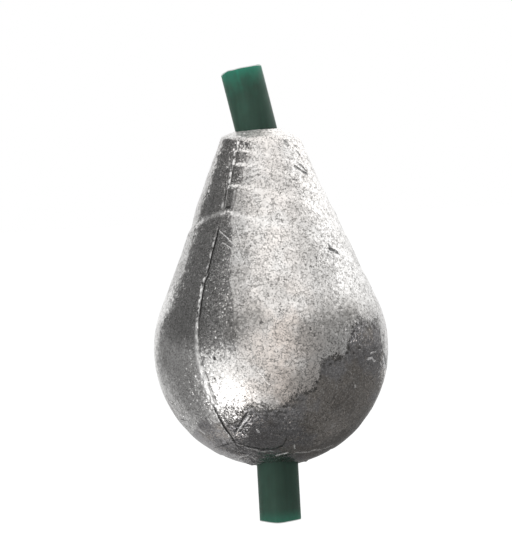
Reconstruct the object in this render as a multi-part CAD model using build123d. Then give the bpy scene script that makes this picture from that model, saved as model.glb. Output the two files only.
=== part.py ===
from build123d import *
import os
from math import radians, sin, sqrt, tan

# In-line fishing sinker: a pear-shaped lead casting on a soft line tube.
# Lengths are in millimetres and angles in degrees.
# The bore runs along +Z, narrow end up, and the origin is the centre of its lower mouth.
# The free end of the tube leans towards -X.

# Casting: a ball below, a cone tangent to it above, and a blunt crown round the upper mouth
# The crown height runs from the belly's centre to the upper mouth
belly_radius = 11.3
flank_angle = 21.3
crown_height = 21.2
crown_slope = 28.0
shoulder_radius = 1.5
mouth_chamfer = 0.2

# Flash left where the two mould halves met, in a plane through the bore
parting_azimuth = 51.4
flash_height = 0.12
flash_width = 0.3

# Laps where the metal chilled in stages in the tilted mould, each stepping the cone's skin in
# Each share is of the crown height, from the belly's centre up, where the lap meets the gate's flash
lap_height_shares = (0.627, 0.757, 0.854, 0.915)
lap_tilt = 27.6
lap_step = 0.08

# Scar of the pouring gate, on the flash beside the lower mouth
gate_polar_angle = 16.0
gate_radius = 1.3
gate_height = 0.15

# Line tube
tube_outer_radius = 2.0
tube_inner_radius = 1.0
lower_projection = 5.5
upper_projection = 5.9
lean_angle = 11.2
bend_radius = 15.0

# Fit between the tube and the casting
bore_clearance = 0.05

# How far a cut runs past the face it opens
cut_overrun = 1.0

bore_radius = tube_outer_radius + bore_clearance
belly_z = sqrt(belly_radius**2 - bore_radius**2)
top_z = belly_z + crown_height
crown_rise = tan(radians(crown_slope))
peak_z = top_z + bore_radius * crown_rise
bend_start_z = top_z - bend_radius * sin(radians(lean_angle))


def flank_reach(height, grow):
    """Distance of the flank from the bore's axis at a height, on a casting swollen by grow."""
    apex_z = belly_z + (belly_radius + grow) / sin(radians(flank_angle))
    return (apex_z - height) * tan(radians(flank_angle))


def casting_section(grow):
    """Half section of the casting without its bore, swollen outward by grow below the crown."""
    radius = belly_radius + grow
    belly = CenterArc((0, belly_z), radius, -90, 90 + flank_angle)
    corner_reach = flank_reach(peak_z, grow) / (1 - crown_rise * tan(radians(flank_angle)))
    corner = (corner_reach, peak_z - corner_reach * crown_rise)
    crown = FilletPolyline(belly @ 1, corner, (0, peak_z), radius=shoulder_radius)
    axis_side = Line(crown @ 1, belly @ 0)
    return Plane.XZ * make_face(belly + crown + axis_side)


def flashed_casting(inset):
    """Turned casting with its flash, both drawn in by inset."""
    fin = extrude(casting_section(flash_height - inset), amount=flash_width / 2, both=True)
    return revolve(casting_section(-inset), axis=Axis.Z) + fin + Rot(0, 0, 180) * fin


def space_above_lap(height_share):
    """Tilted block that holds everything above one lap."""
    height = belly_z + height_share * crown_height
    reach = belly_radius + crown_height + cut_overrun
    block = Box(2 * reach, 2 * reach, 2 * reach, align=(Align.CENTER, Align.CENTER, Align.MIN))
    return Pos(-flank_reach(height, 0), 0, height) * Rot(0, lap_tilt, 0) * block


def tube_path(lower_end_z, upper_run):
    """Centre line of the tube: straight through the casting, bent near the top, then leaning."""
    straight = Line((0, lower_end_z), (0, bend_start_z))
    bend = JernArc(straight @ 1, straight % 1, bend_radius, lean_angle)
    leaning = PolarLine(bend @ 1, upper_run, 90 + lean_angle)
    return Plane.XZ * (straight + bend + leaning)


def rod_along(path, radius):
    """Round rod of one radius along a centre line."""
    return sweep(Plane(origin=path @ 0, z_dir=path % 0) * Circle(radius), path=path)


def gate_scar():
    """Low round pad left where the gate broke off."""
    length = belly_radius + gate_height
    pad = Cylinder(gate_radius, length, align=(Align.CENTER, Align.CENTER, Align.MAX))
    return Pos(0, 0, belly_z) * Rot(0, gate_polar_angle, 0) * pad


def make_lead_body():
    """Casting with its flash, laps and gate scar, cut by the straight bore and the tube's lean."""
    casting = flashed_casting(0) + gate_scar()
    for count, height_share in enumerate(lap_height_shares, start=1):
        casting = casting - (space_above_lap(height_share) - flashed_casting(count * lap_step))
    casting = Rot(0, 0, parting_azimuth) * casting
    straight_bore = Cylinder(bore_radius, peak_z + 2 * cut_overrun,
                             align=(Align.CENTER, Align.CENTER, Align.MIN))
    leaning_bore = rod_along(tube_path(0, peak_z - top_z + cut_overrun), bore_radius)
    casting = casting - Pos(0, 0, -cut_overrun) * straight_bore - leaning_bore
    mouth_depth = mouth_chamfer + cut_overrun
    mouth_cut = Cone(bore_radius + mouth_depth, bore_radius, mouth_depth,
                     align=(Align.CENTER, Align.CENTER, Align.MAX))
    return casting - Pos(0, 0, mouth_chamfer) * mouth_cut


def make_line_tube():
    """Soft tube through the casting, cut square at both ends."""
    path = tube_path(-lower_projection, upper_projection)
    return rod_along(path, tube_outer_radius) - rod_along(path, tube_inner_radius)


os.makedirs("parts", exist_ok=True)
export_step(make_lead_body(), "parts/lead_body.step")
export_step(make_line_tube(), "parts/line_tube.step")
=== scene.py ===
"""Dresses the in-line fishing sinker: its cast lead body and the soft tube through its bore."""

import math

import bmesh
import bpy
import numpy as np
from bpy.props import FloatProperty, FloatVectorProperty, IntProperty, PointerProperty
from mathutils import Matrix, Vector, noise


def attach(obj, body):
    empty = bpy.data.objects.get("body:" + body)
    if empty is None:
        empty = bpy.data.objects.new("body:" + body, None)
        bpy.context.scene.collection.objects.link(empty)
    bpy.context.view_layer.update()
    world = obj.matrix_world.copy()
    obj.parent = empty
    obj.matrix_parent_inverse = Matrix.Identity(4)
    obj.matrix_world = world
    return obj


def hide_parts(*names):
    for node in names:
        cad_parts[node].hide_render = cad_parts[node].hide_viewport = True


bl_info = {
    "name": "In-line Fishing Sinker",
    "version": (1, 0, 0),
    "blender": (4, 5, 0),
    "location": "View3D > Sidebar > Sinker",
    "description": "Builds a pear-shaped cast lead weight with a soft line tube through it",
    "category": "Object",
}

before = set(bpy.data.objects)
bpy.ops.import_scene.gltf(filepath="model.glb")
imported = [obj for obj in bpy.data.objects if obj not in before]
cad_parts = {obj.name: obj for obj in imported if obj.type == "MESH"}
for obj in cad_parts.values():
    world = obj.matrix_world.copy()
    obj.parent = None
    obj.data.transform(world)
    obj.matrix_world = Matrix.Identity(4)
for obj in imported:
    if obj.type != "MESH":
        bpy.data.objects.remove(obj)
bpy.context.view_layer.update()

MM = 0.001


class CastingSettings(bpy.types.PropertyGroup):
    """Sizes and colours of the cast lead body."""

    belly_radius: FloatProperty(
        name="Belly radius",
        description="Radius of the ball that forms the belly",
        default=11.3 * MM,
        unit="LENGTH",
    )
    flank_angle: FloatProperty(
        name="Flank angle",
        description="Angle between the cone's flank and the bore",
        default=math.radians(21.3),
        subtype="ANGLE",
    )
    crown_height: FloatProperty(
        name="Crown height",
        description="From the belly's centre up to the upper mouth",
        default=21.2 * MM,
        unit="LENGTH",
    )
    crown_slope: FloatProperty(
        name="Crown slope",
        description="Fall of the blunt crown round the upper mouth",
        default=math.radians(28.0),
        subtype="ANGLE",
    )
    shoulder_radius: FloatProperty(
        name="Shoulder radius",
        description="Rounding between the flank and the crown",
        default=1.5 * MM,
        unit="LENGTH",
    )
    sharp_shoulder_radius: FloatProperty(
        name="Sharp shoulder radius",
        description="The same rounding on the left, where the casting came out sharper",
        default=0.5 * MM,
        unit="LENGTH",
    )
    sharp_crown_slope: FloatProperty(
        name="Sharp crown slope",
        description="Fall of the crown on the left, where it came out flatter",
        default=math.radians(18.0),
        subtype="ANGLE",
    )
    bore_radius: FloatProperty(
        name="Bore radius",
        description="Radius of the hole that takes the tube",
        default=2.05 * MM,
        unit="LENGTH",
    )
    mouth_chamfer: FloatProperty(
        name="Mouth chamfer",
        description="Broken edge of the lower mouth",
        default=0.05 * MM,
        unit="LENGTH",
    )
    parting_azimuth: FloatProperty(
        name="Parting azimuth",
        description="Direction of the flash beside the gate, from +X",
        default=math.radians(-128.6),
        subtype="ANGLE",
    )
    flash_height: FloatProperty(
        name="Flash height",
        description="How far the parting flash stands proud",
        default=0.11 * MM,
        unit="LENGTH",
    )
    lap_tilt: FloatProperty(
        name="Lap tilt",
        description="Tilt of the cold laps, highest at the gate's flash",
        default=math.radians(27.6),
        subtype="ANGLE",
    )
    lap_step: FloatProperty(
        name="Lap step",
        description="How far the skin steps in at each lap",
        default=0.08 * MM,
        unit="LENGTH",
    )
    lump_depth: FloatProperty(
        name="Lump depth",
        description="Height of the broad unevenness of the cast skin",
        default=0.15 * MM,
        unit="LENGTH",
    )
    lump_size: FloatProperty(
        name="Lump size",
        description="Spacing of the broad unevenness",
        default=5.0 * MM,
        unit="LENGTH",
    )
    dimple_depth: FloatProperty(
        name="Dimple depth",
        description="Height of the small dimples of the cast skin",
        default=0.055 * MM,
        unit="LENGTH",
    )
    dimple_size: FloatProperty(
        name="Dimple size",
        description="Spacing of the small dimples",
        default=1.1 * MM,
        unit="LENGTH",
    )
    seed: IntProperty(
        name="Seed",
        description="Fixes the pattern of the cast skin",
        default=7,
    )
    frost_colour: FloatVectorProperty(
        name="Frosted lead",
        description="Reflected colour of the frosted skin",
        default=(0.98, 0.97, 0.955),
        subtype="COLOR",
    )
    warm_colour: FloatVectorProperty(
        name="Warm lead",
        description="Reflected colour of the warmer patches of the frosted skin",
        default=(0.98, 0.885, 0.815),
        subtype="COLOR",
    )
    smooth_colour: FloatVectorProperty(
        name="Smooth lead",
        description="Reflected colour of the smooth skin",
        default=(0.492, 0.480, 0.492),
        subtype="COLOR",
    )
    stain_colour: FloatVectorProperty(
        name="Stained lead",
        description="Reflected colour of the brownish patches of the smooth skin",
        default=(0.49, 0.45, 0.415),
        subtype="COLOR",
    )
    pit_colour: FloatVectorProperty(
        name="Pits",
        description="Reflected colour in the pits between the crystals",
        default=(0.11, 0.105, 0.10),
        subtype="COLOR",
    )


class TubeSettings(bpy.types.PropertyGroup):
    """Sizes and colours of the line tube."""

    outer_radius: FloatProperty(
        name="Outer radius",
        description="Outside radius of the tube",
        default=2.0 * MM,
        unit="LENGTH",
    )
    inner_radius: FloatProperty(
        name="Inner radius",
        description="Radius of the hole for the line",
        default=1.0 * MM,
        unit="LENGTH",
    )
    lower_projection: FloatProperty(
        name="Lower projection",
        description="Length that stands out below the lead",
        default=5.5 * MM,
        unit="LENGTH",
    )
    upper_projection: FloatProperty(
        name="Upper projection",
        description="Length that stands out above the lead, along the lean",
        default=5.9 * MM,
        unit="LENGTH",
    )
    lean_angle: FloatProperty(
        name="Lean",
        description="Lean of the upper end towards -X",
        default=math.radians(11.2),
        subtype="ANGLE",
    )
    bend_radius: FloatProperty(
        name="Bend radius",
        description="Radius of the bend below the upper mouth",
        default=15.0 * MM,
        unit="LENGTH",
    )
    body_colour: FloatVectorProperty(
        name="Tube",
        description="Colour of the soft plastic",
        default=(0.040, 0.087, 0.063),
        subtype="COLOR",
    )
    # painted glow: the colour painted near the cut ends, in place of light let through the plastic
    painted_end_glow: FloatVectorProperty(
        name="Cut ends",
        description="Colour where light enters the cut ends",
        default=(0.038, 0.280, 0.185),
        subtype="COLOR",
    )


class StageSettings(bpy.types.PropertyGroup):
    """Camera and studio."""

    camera_distance: FloatProperty(
        name="Camera distance",
        description="From the camera to the bore's axis",
        default=0.42,
        unit="LENGTH",
    )
    camera_elevation: FloatProperty(
        name="Camera elevation",
        description="How far the camera looks down",
        default=math.radians(2.0),
        subtype="ANGLE",
    )
    camera_roll: FloatProperty(
        name="Camera roll",
        description="Roll that makes the bore lean in the picture",
        default=math.radians(3.15),
        subtype="ANGLE",
    )
    camera_lens: FloatProperty(
        name="Lens",
        description="Focal length on a 36 mm sensor",
        default=281.0,
    )
    aim: FloatVectorProperty(
        name="Aim",
        description="Point at the middle of the picture",
        default=(-1.09 * MM, 0.0, 17.92 * MM),
        subtype="XYZ",
        unit="LENGTH",
    )
    floor_drop: FloatProperty(
        name="Floor drop",
        description="How far the floor lies below the lower mouth",
        default=40.0 * MM,
        unit="LENGTH",
    )
    tent_radius: FloatProperty(
        name="Tent radius",
        description="Radius of the light tent that the lead mirrors",
        default=0.12,
        unit="LENGTH",
    )
    lamp_radiance: FloatProperty(
        name="Top lamp",
        description="Brightness of the large soft lamp above the tent's front",
        default=1.2,
    )
    world_strength: FloatProperty(
        name="Studio fill",
        description="Brightness of the studio's even light",
        default=0.75,
    )


WHITE = (1.0, 1.0, 1.0, 1.0)
MIDDLE_GREY = (0.5, 0.5, 0.5)

# Reflected colours of marks on the lead; the last two also serve as painted shadow beside small bumps and
# painted shade in grooves, the pocket and the bore
DULL_SKIN = (0.48, 0.465, 0.445)
DIM_CRYSTAL = (0.40, 0.385, 0.37)
DARK_CRYSTAL = (0.27, 0.26, 0.25)
CLOUDED_SKIN = (0.33, 0.315, 0.305)
DARK_DUST = (0.22, 0.21, 0.20)
CRACK = (0.20, 0.19, 0.18)
BLOTCH = (0.15, 0.145, 0.14)
# scored nicks: scratches, and painted shadow beside small bumps and ridges
SCRATCH_AND_SHADOW = (0.07, 0.07, 0.07)
# painted shade for the flash's groove, the pocket's edges and the bore wall
PAINTED_SHADE = (0.03, 0.03, 0.03)

# Sizes of the lead's grain, from its finest crystals to its broad clouds
SPARK_SIZE = 0.11 * MM
GRAIN_SIZE = 0.15 * MM
DUST_SIZE = 0.16 * MM
CRYSTAL_SIZE = 0.21 * MM
CRACK_SPACING = 0.30 * MM
FINE_FRAY_SIZE = 0.4 * MM
BLOTCH_SIZE = 0.42 * MM
LARGE_CRYSTAL_SIZE = 0.55 * MM
FRAY_SIZE = 0.8 * MM
PATCH_SIZE = 1.4 * MM
HUE_SIZE = 2.2 * MM
CLOUD_SIZE = 2.8 * MM

# Height of the lead's grain, and of its nicks in the same measure
LEAD_RELIEF = 0.012 * MM
NICK_RELIEF = 6.0
NICK_WANDER = 0.35 * MM
NICK_WANDER_SIZE = 0.9 * MM
NICK_GAP_SIZE = 0.28 * MM

# Sizes of the tube's pattern and of its painted glow
STREAK_WIDTH = 0.5 * MM
MOTTLE_SIZE = 2.5 * MM
PAINTED_GLOW_WOBBLE_SIZE = 0.9 * MM
PAINTED_RAY_REACH = 1.1 * MM
TUBE_RELIEF = 0.01 * MM
SOFT_PLASTIC = {
    "Specular IOR Level": 0.22,
    "Subsurface Weight": 0.25,
    "Subsurface Radius": (0.3, 1.0, 0.7),
    "Subsurface Scale": 0.6 * MM,
    "Sheen Weight": 0.25,
    "Sheen Roughness": 0.35,
    "Sheen Tint": (0.75, 0.85, 0.80, 1.0),
}


class Nodes:
    """Adds and links the nodes of one tree."""

    def __init__(self, tree):
        self.tree = tree

    def new(self, kind, **options):
        """Adds a node and sets its options."""
        node = self.tree.nodes.new(kind)
        for name, value in options.items():
            setattr(node, name, value)
        return node

    def feed(self, socket, value):
        """Links an output to a socket, or sets the socket to a value."""
        if isinstance(value, bpy.types.NodeSocket):
            self.tree.links.new(value, socket)
        else:
            socket.default_value = value

    def math(self, operation, first, second=0.0):
        """Adds a Math node fed by outputs or numbers."""
        node = self.new("ShaderNodeMath", operation=operation)
        self.feed(node.inputs[0], first)
        self.feed(node.inputs[1], second)
        return node.outputs[0]

    def plus(self, first, second):
        """Sum of two values."""
        return self.math("ADD", first, second)

    def minus(self, first, second):
        """First value less the second."""
        return self.math("SUBTRACT", first, second)

    def times(self, first, second):
        """Product of two values."""
        return self.math("MULTIPLY", first, second)

    def larger(self, first, second):
        """Larger of two values."""
        return self.math("MAXIMUM", first, second)

    def smaller(self, first, second):
        """Smaller of two values."""
        return self.math("MINIMUM", first, second)

    def gap(self, first, second):
        """How far two values are apart."""
        return self.math("ABSOLUTE", self.minus(first, second))

    def ramp(self, value, low, high, start=0.0, end=1.0):
        """Maps a value smoothly from the span low to high onto start to end."""
        node = self.new("ShaderNodeMapRange", interpolation_type="SMOOTHSTEP", clamp=False)
        numbers = {"Value": value, "From Min": low, "From Max": high, "To Min": start, "To Max": end}
        for name, number in numbers.items():
            self.feed(node.inputs[name], number)
        return node.outputs["Result"]

    def between(self, share, start, end):
        """Value that goes smoothly from start at a share of 0 to end at 1."""
        return self.ramp(share, 0.0, 1.0, start, end)

    def mix(self, factor, first, second):
        """Mixes two colours."""
        node = self.new("ShaderNodeMix", data_type="RGBA")
        self.feed(node.inputs[0], factor)
        for socket, colour in zip(node.inputs[6:8], (first, second)):
            self.feed(socket, colour if isinstance(colour, bpy.types.NodeSocket) else (*colour, 1.0))
        return node.outputs[2]

    def channels(self, colour):
        """The three channels of a colour."""
        node = self.new("ShaderNodeSeparateColor")
        self.feed(node.inputs[0], colour)
        return node.outputs

    def attribute(self, name):
        """Reads a float attribute of the piece."""
        return self.new("ShaderNodeAttribute", attribute_name=name).outputs["Fac"]

    def noise(self, vector, size, detail=3.0, roughness=0.55, distortion=0.0):
        """Noise whose features are about one size across."""
        node = self.new("ShaderNodeTexNoise")
        self.feed(node.inputs["Vector"], vector)
        node.inputs["Scale"].default_value = 1.0 / size
        node.inputs["Detail"].default_value = detail
        node.inputs["Roughness"].default_value = roughness
        node.inputs["Distortion"].default_value = distortion
        return node.outputs[0]

    def crystals(self, vector, size):
        """Random colour of each crystal of a packed grain about one size across."""
        node = self.new("ShaderNodeTexVoronoi")
        self.feed(node.inputs["Vector"], vector)
        node.inputs["Scale"].default_value = 1.0 / size
        return node.outputs["Color"]

    def vector(self, operation, first, second=None, scale=None):
        """Adds a Vector Math node fed by outputs or values."""
        node = self.new("ShaderNodeVectorMath", operation=operation)
        self.feed(node.inputs[0], first)
        if second is not None:
            self.feed(node.inputs[1], second)
        if scale is not None:
            self.feed(node.inputs["Scale"], scale)
        return node.outputs["Value" if operation in ("DOT_PRODUCT", "DISTANCE") else "Vector"]

    def bent(self, vector, size, reach):
        """Vector that wanders with noise of a size, within a reach."""
        node = self.new("ShaderNodeTexNoise")
        self.feed(node.inputs["Vector"], vector)
        node.inputs["Scale"].default_value = 1.0 / size
        shift = self.vector("SUBTRACT", node.outputs["Color"], MIDDLE_GREY)
        return self.vector("ADD", vector, self.vector("SCALE", shift, scale=reach))


def new_material(name):
    """Makes a material with nothing but its output, and returns its nodes and the output's surface too."""
    material = bpy.data.materials.new(name)
    material.use_nodes = True
    material.node_tree.nodes.clear()
    make = Nodes(material.node_tree)
    return material, make, make.new("ShaderNodeOutputMaterial").inputs["Surface"]


def new_finish(name):
    """Makes a material with one principled shader."""
    material, make, surface = new_material(name)
    shader = make.new("ShaderNodeBsdfPrincipled")
    make.feed(surface, shader.outputs[0])
    return material, make, shader


def hair_cracks(make, vector, size):
    """Dark hair lines of one spacing, bent and broken into short strokes."""
    cells = make.new("ShaderNodeTexVoronoi", feature="DISTANCE_TO_EDGE")
    make.feed(cells.inputs["Vector"], make.bent(vector, size / 1.4, 0.9 * size))
    cells.inputs["Scale"].default_value = 1.0 / size
    line = make.ramp(cells.outputs["Distance"], 0.13, 0.03)
    broken = make.noise(vector, 1.2 * size, detail=2.0)
    return make.times(line, make.ramp(broken, 0.47, 0.56))


def facet_normal(make, layers):
    """Surface normal turned a little on each crystal, for layers of crystal colours and turns."""
    normal = make.new("ShaderNodeNewGeometry").outputs["Normal"]
    for crystal, turn in layers:
        centred = make.vector("SUBTRACT", crystal, MIDDLE_GREY)
        normal = make.vector("ADD", normal, make.vector("SCALE", centred, scale=turn))
    return make.vector("NORMALIZE", normal)


def belly_height(casting):
    """Height of the belly's centre above the lower mouth."""
    return math.sqrt(casting.belly_radius**2 - casting.bore_radius**2)


NICKS = (
    # points across and up from the belly's centre, half width, and depth, negative where raised; the scored
    # ones are painted dark, as scratches and as painted shadow, the raised ones painted light as painted
    # highlights
    (((-3.8, -7.2), (-2.6, -5.5)), 0.14, 1.0),
    (((-3.4, -7.3), (-2.2, -5.8)), 0.09, 0.8),
    (((-3.6, -7.2), (-2.4, -5.7)), 0.10, -1.0),
    (((-4.9, -7.0), (-4.1, -8.1)), 0.08, -0.8),
    (((-5.8, -8.9), (-4.8, -8.6), (-3.9, -8.4), (-3.0, -8.7)), 0.11, 0.9),
    (((-3.0, -8.7), (-1.5, -9.2), (-0.3, -9.2), (0.6, -8.9), (1.0, -8.0)), 0.11, 0.9),
    (((-3.0, -8.9), (-1.5, -9.4), (-0.3, -9.4)), 0.08, -0.5),
    (((-0.1, -10.0), (1.0, -9.7)), 0.10, -1.0),
    (((1.7, -9.0), (1.7, -9.3)), 0.09, -0.8),
    (((1.6, -9.8), (2.7, -9.8), (4.5, -9.6), (5.3, -9.4)), 0.08, -0.5),
    (((-3.7, -10.2), (-3.2, -9.9), (-2.8, -9.8)), 0.10, -0.8),
    (((-2.5, -10.0), (-2.1, -10.3)), 0.10, -0.7),
    (((-4.7, -9.2), (-3.0, -9.6)), 0.16, 0.8),
    (((-3.5, -7.0), (-2.4, -6.9)), 0.09, -0.7),
    (((-1.8, -7.2), (-1.6, -7.4)), 0.10, -0.8),
    (((3.2, 17.5), (4.4, 16.7)), 0.13, 1.0),
    (((3.7, 17.6), (4.4, 16.9)), 0.10, 1.0),
    (((3.4, 18.9), (3.8, 18.5)), 0.09, 0.9),
    (((2.4, 19.9), (2.6, 19.6)), 0.20, 0.7),
    (((2.9, 16.3), (3.3, 16.2)), 0.08, 0.8),
    (((-1.4, 20.0), (-1.2, 19.5)), 0.18, 0.9),
    (((6.1, 9.5), (6.8, 9.0)), 0.20, 1.0),
    (((5.9, 10.0), (6.2, 9.6)), 0.10, 0.8),
    (((-0.9, 3.0), (-0.7, 3.1)), 0.18, 0.8),
    (((3.8, 2.1), (3.8, 2.3)), 0.14, 0.9),
    (((4.1, 1.5), (4.1, 1.7)), 0.12, 0.9),
    (((2.6, 0.9), (2.9, 0.9)), 0.12, 0.8),
    (((-0.3, -2.1), (-0.2, -1.9)), 0.13, 0.9),
    (((8.2, 0.0), (8.4, 0.0)), 0.13, 1.0),
    (((7.7, -0.5), (7.8, -0.4)), 0.12, 0.9),
    (((9.1, -1.2), (9.5, -1.1), (9.8, -1.4)), 0.13, -0.8),
    (((9.4, -0.7), (9.9, -0.5)), 0.10, -0.7),
    (((7.35, -2.2), (7.4, -2.4)), 0.11, -0.5),
    (((-8.6, -5.7), (-8.2, -6.3)), 0.10, -0.7),
    (((-9.4, -4.7), (-9.1, -5.3)), 0.09, -0.6),
    (((-7.3, -7.1), (-6.8, -7.5)), 0.10, -0.8),
    (((7.7, -3.5), (7.75, -3.7)), 0.11, -0.5),
    (((-1.3, -1.4), (-0.4, -2.8)), 0.09, -0.5),
    (((-2.1, 1.7), (-1.7, -0.4)), 0.09, -0.5),
    (((-4.4, 11.9), (-3.8, 11.2), (-2.9, 10.3), (-2.6, 9.6)), 0.07, -0.6),
    (((-4.1, 10.6), (-3.4, 10.1), (-2.7, 9.0)), 0.07, -0.5),
    (((-2.9, 12.7), (-2.7, 11.8), (-2.4, 10.6)), 0.07, -0.5),
    # painted highlight and painted shadow of a small round bump
    (((-5.85, 0.3), (-5.75, 0.15)), 0.20, -0.8),
    (((-5.45, 0.15), (-5.4, -0.2)), 0.15, 1.0),
    (((-10.2, -4.3), (-9.7, -4.9)), 0.12, -0.8),
    (((-9.6, -5.1), (-9.1, -5.7)), 0.14, -0.8),
    (((-9.0, -5.6), (-8.4, -6.4)), 0.13, -0.8),
    (((-8.6, -6.5), (-7.9, -6.9)), 0.12, -0.8),
    (((-8.9, -6.1), (-8.3, -6.3)), 0.10, 0.8),
    (((10.8, 0.9), (10.8, -0.5)), 0.07, 0.9),
    (((10.8, -0.9), (10.8, -2.0)), 0.07, 0.9),
    (((10.7, -2.4), (10.4, -3.6)), 0.07, 0.8),
)


def distance_to_nick(make, flat, start, end):
    """Distance, seen from the front, from a place to the straight line between two ends."""
    start = Vector((start[0], 0.0, start[1])) * MM
    line = Vector((end[0], 0.0, end[1])) * MM - start
    gap = make.vector("SUBTRACT", flat, start)
    along = make.vector("DOT_PRODUCT", gap, line / line.length_squared)
    along = make.smaller(make.larger(along, 0.0), 1.0)
    return make.vector("DISTANCE", gap, make.vector("SCALE", line, scale=along))


def scored_and_raised(make, place, belly_z):
    """Shares of scratch and of raised burr at a place on the front, from the table of nicks, which the
    colour also uses as painted shadow and painted highlight.
    """
    flat = make.vector("SUBTRACT", make.bent(place, NICK_WANDER_SIZE, NICK_WANDER), (0.0, 0.0, belly_z))
    flat = make.vector("MULTIPLY", flat, (1.0, 0.0, 1.0))
    split = make.new("ShaderNodeSeparateXYZ")
    make.feed(split.inputs[0], place)
    front = make.ramp(split.outputs["Y"], -0.5 * MM, -1.5 * MM)
    marks = {1: 0.0, -1: 0.0}
    for points, width, depth in NICKS:
        sign = 1 if depth > 0 else -1
        for start, end in zip(points, points[1:]):
            gap = distance_to_nick(make, flat, start, end)
            nick = make.ramp(gap, width * MM, 0.3 * width * MM, 0.0, abs(depth))
            marks[sign] = make.larger(marks[sign], nick)
    gaps = make.noise(place, NICK_GAP_SIZE, detail=3.0)
    broken = make.times(front, make.ramp(gaps, 0.36, 0.56, 0.4, 1.0))
    return make.times(marks[1], broken), make.times(marks[-1], broken)


def lead_material(settings):
    """Cast lead: frosted crystals with dark pits, and smoother skin where it lay on the mould."""
    material, make, shader = new_finish("cast_lead")
    place = make.new("ShaderNodeTexCoord").outputs["Object"]
    fray = make.minus(make.noise(place, FRAY_SIZE, detail=6.0, roughness=0.78), 0.5)
    frost_share = make.attribute("frost")
    ragged = make.plus(frost_share, make.times(fray, 1.5))
    frost = make.ramp(ragged, 0.38, 0.62)
    border = make.ramp(make.gap(ragged, 0.58), 0.36, 0.0)
    fine_fray = make.minus(make.noise(place, FINE_FRAY_SIZE, detail=4.0, roughness=0.65), 0.5)
    coarse = make.plus(make.attribute("coarse"), fine_fray)
    white = make.times(make.ramp(coarse, 0.36, 0.64), frost)
    rough = make.attribute("rough")
    lively = make.minus(1.0, make.attribute("quiet"))
    border = make.times(border, lively)
    scored, raised = scored_and_raised(make, place, belly_height(settings))

    grain = make.noise(place, GRAIN_SIZE, detail=2.0, roughness=0.6, distortion=0.9)
    patch = make.noise(place, PATCH_SIZE, detail=4.0, roughness=0.6)
    limit = make.plus(make.ramp(patch, 0.36, 0.64, 0.335, 0.445), make.times(border, 0.165))
    limit = make.minus(limit, make.between(lively, 0.045, 0.0))
    limit = make.minus(limit, make.times(white, 0.05))
    clear = make.ramp(grain, make.minus(limit, 0.035), limit)
    pits = make.minus(1.0, clear)
    pit_share = make.times(pits, make.between(frost, 0.6, 1.0))
    cracks = make.times(hair_cracks(make, place, CRACK_SPACING), make.between(white, 0.35, 0.80))

    small = make.crystals(place, CRYSTAL_SIZE)
    large = make.crystals(place, LARGE_CRYSTAL_SIZE)
    spark = make.crystals(place, SPARK_SIZE)
    tone = make.channels(small)[0]
    glint, dark_glint, crumb = make.channels(spark)
    cloud = make.noise(place, CLOUD_SIZE, detail=5.0, roughness=0.62)
    hue = make.noise(place, HUE_SIZE, detail=3.0)
    warm = make.times(make.attribute("warm"), make.ramp(hue, 0.30, 0.60, 0.35, 1.0))
    frosted = make.mix(warm, settings.frost_colour, settings.warm_colour)
    dull = make.larger(make.ramp(cloud, 0.44, 0.74, 0.0, 0.30), make.attribute("dull"))
    frosted = make.mix(dull, frosted, DULL_SKIN)
    frosted = make.mix(make.ramp(tone, 0.35, 0.0, 0.0, 0.22), frosted, DIM_CRYSTAL)
    frosted = make.mix(make.ramp(dark_glint, 0.0, 0.28, 0.6, 0.0), frosted, DARK_CRYSTAL)

    dust = make.noise(place, DUST_SIZE, detail=2.0, roughness=0.7)
    stain = make.plus(hue, make.times(make.attribute("stain"), 0.25))
    smooth = make.mix(make.ramp(stain, 0.52, 0.70), settings.smooth_colour, settings.stain_colour)
    smooth = make.mix(make.ramp(patch, 0.50, 0.36, 0.0, 0.4), smooth, CLOUDED_SKIN)
    smooth = make.mix(make.ramp(dust, 0.48, 0.34, 0.0, 0.6), smooth, DARK_DUST)
    smooth = make.mix(make.ramp(dust, 0.52, 0.68, 0.0, 0.65), smooth, settings.frost_colour)
    crumbs = make.times(make.ramp(crumb, 0.80, 0.92), make.ramp(patch, 0.46, 0.62, 0.15, 1.0))
    smooth = make.mix(make.times(crumbs, 0.9), smooth, settings.warm_colour)

    skin = make.mix(frost, smooth, frosted)
    skin = make.mix(cracks, skin, CRACK)
    blotch = make.noise(place, BLOTCH_SIZE, detail=3.0, roughness=0.65)
    near_border = make.times(make.ramp(make.gap(frost_share, 0.33), 0.33, 0.10, 0.12, 1.0), lively)
    skin = make.mix(make.times(make.ramp(blotch, 0.50, 0.43, 0.0, 0.85), near_border), skin, BLOTCH)
    colour = make.mix(pit_share, skin, settings.pit_colour)
    # painted highlights: raised burrs, the flash ridge with its beads, the pocket's lip, the drop and the
    # lap ledges are painted light
    painted_glints = make.larger(make.times(raised, 0.9), make.attribute("bare"))
    colour = make.mix(painted_glints, colour, settings.frost_colour)
    # scored nicks painted dark: scratches, and painted shadow beside small bumps and ridges
    colour = make.mix(make.times(scored, 0.92), colour, SCRATCH_AND_SHADOW)
    # painted shade in the flash's groove, along the pocket's edges and down the bore wall
    colour = make.mix(make.times(make.attribute("grime"), 0.9), colour, PAINTED_SHADE)
    make.feed(shader.inputs["Base Color"], colour)

    rough_base = make.plus(make.between(frost, 0.20, 0.23), make.times(white, 0.12))
    make.feed(shader.inputs["Roughness"], make.plus(rough_base, make.times(pits, 0.18)))
    # chalky skin, and the painted highlights made chalky too so that they stay light
    chalk = make.larger(make.times(white, make.attribute("chalk")), make.times(painted_glints, 0.7))
    make.feed(shader.inputs["Metallic"], make.minus(1.0, chalk))

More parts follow.
